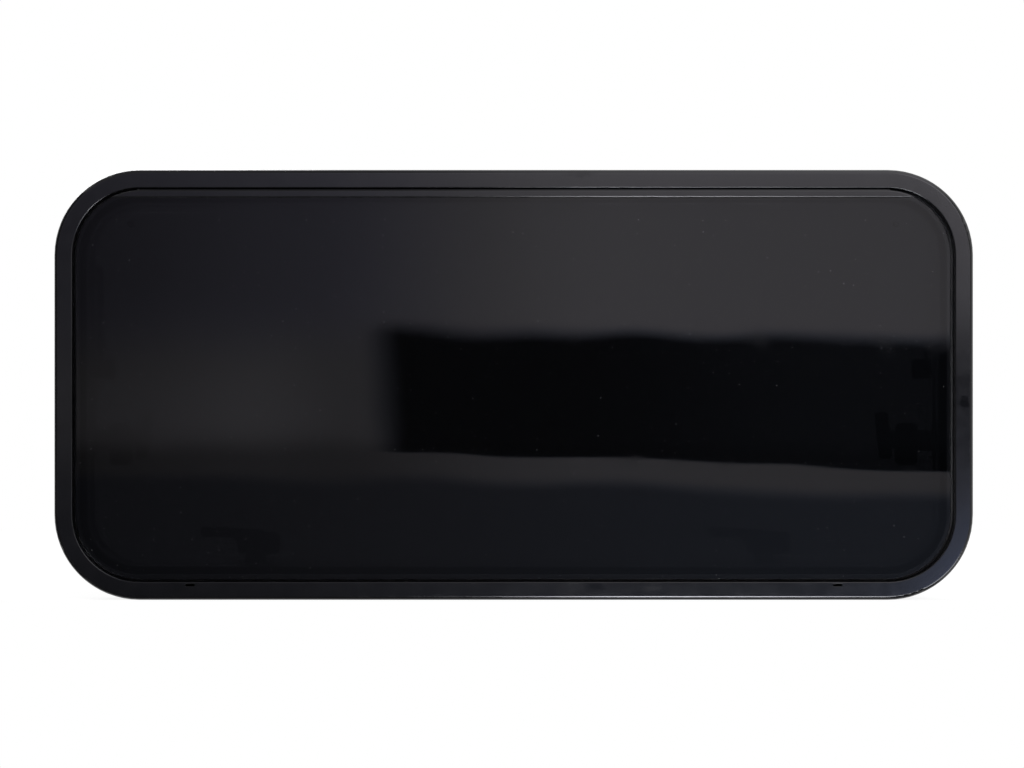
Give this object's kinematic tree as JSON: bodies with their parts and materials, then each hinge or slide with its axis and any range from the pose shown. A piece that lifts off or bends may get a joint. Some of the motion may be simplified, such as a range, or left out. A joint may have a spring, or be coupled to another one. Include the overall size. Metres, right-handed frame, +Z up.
{
  "type": "top-hung caravan window",
  "caption": "Framed caravan window with rounded corners: black flange, flush tinted double acrylic pane hung at the top, catches, stays and a clamping inner frame.",
  "frame": {"origin": "mid-width on the back face of the lower flange's inner foot, where the window rests on the outside of the caravan's wall", "axes": "+X along the width, +Y through the wall into the caravan, +Z up; the outside face looks along -Y"},
  "size_m": [1.034, 0.0432, 0.484],
  "materials": {
    "frame_coating": "satin black powder coat",
    "tinted_acrylic": "dark tinted cast acrylic, polished",
    "inner_acrylic": "tinted vacuum-formed acrylic, glossy",
    "seal_rubber": "matt rubber",
    "black_plastic": "fine-grained moulded plastic",
    "bright_metal": "brushed stainless steel",
    "clamp_metal": "mill-finish aluminium",
    "cover_plastic": "satin black plastic"
  },
  "bodies": {
    "root": {"outer_frame": "frame_coating", "weather_seal": "seal_rubber", "hinge_rail": "frame_coating", "sash_hinge_profile": "frame_coating", "hinge_end_cap_left": "black_plastic", "hinge_end_cap_right": "black_plastic", "outer_pane": "tinted_acrylic", "inner_pane": "inner_acrylic", "vent_plug_left": "black_plastic", "vent_plug_right": "black_plastic", "catch_base_bottom_left": "black_plastic", "catch_base_bottom_right": "black_plastic", "catch_base_left": "black_plastic", "catch_base_right": "black_plastic", "catch_lever_bottom_left": "black_plastic", "catch_lever_bottom_right": "black_plastic", "catch_lever_left": "black_plastic", "catch_lever_right": "black_plastic", "catch_keeper_bottom_left": "black_plastic", "catch_keeper_bottom_right": "black_plastic", "catch_keeper_left": "black_plastic", "catch_keeper_right": "black_plastic", "stay_frame_bracket_left": "bright_metal", "stay_frame_bracket_right": "bright_metal", "stay_tube_left": "bright_metal", "stay_tube_right": "bright_metal", "stay_rod_left": "bright_metal", "stay_rod_right": "bright_metal", "stay_collar_left": "black_plastic", "stay_collar_right": "black_plastic", "stay_sash_bracket_left": "bright_metal", "stay_sash_bracket_right": "bright_metal", "clamp_frame_left": "clamp_metal", "clamp_frame_right": "clamp_metal", "cover_trim_left": "cover_plastic", "cover_trim_right": "cover_plastic"}
  },
  "joints": []
}
